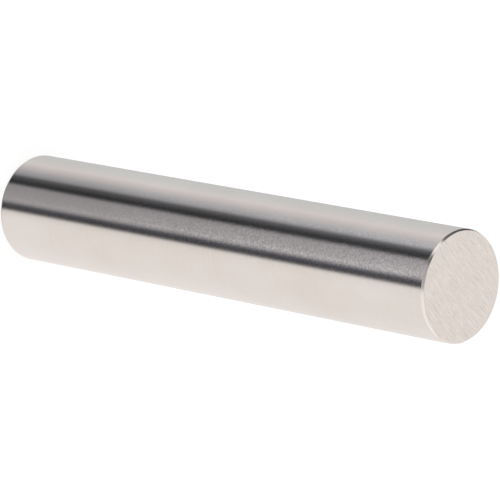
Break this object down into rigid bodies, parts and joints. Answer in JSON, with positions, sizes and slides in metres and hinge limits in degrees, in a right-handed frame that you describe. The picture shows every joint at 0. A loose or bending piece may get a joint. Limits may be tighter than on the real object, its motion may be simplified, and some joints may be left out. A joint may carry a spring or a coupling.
{
  "type": "pin gauge",
  "caption": "Plain cylindrical steel pin gauge with a lapped gauging surface, square ground ends and a small chamfer at each end; it slides into a hole to check its size.",
  "frame": {"origin": "centre of the ground end face that the pin stands on", "axes": "+Z along the pin's axis, from the end it stands on to the upper end; X and Y are any two directions across the round pin"},
  "size_m": [0.0096, 0.0096, 0.0508],
  "materials": {
    "gauge_steel": "hardened gauge steel, ground and lapped to a satin-bright finish round the cylinder, plain ground ends with a fine straight lay"
  },
  "bodies": {
    "root": {"pin_gauge": "gauge_steel"}
  },
  "joints": []
}
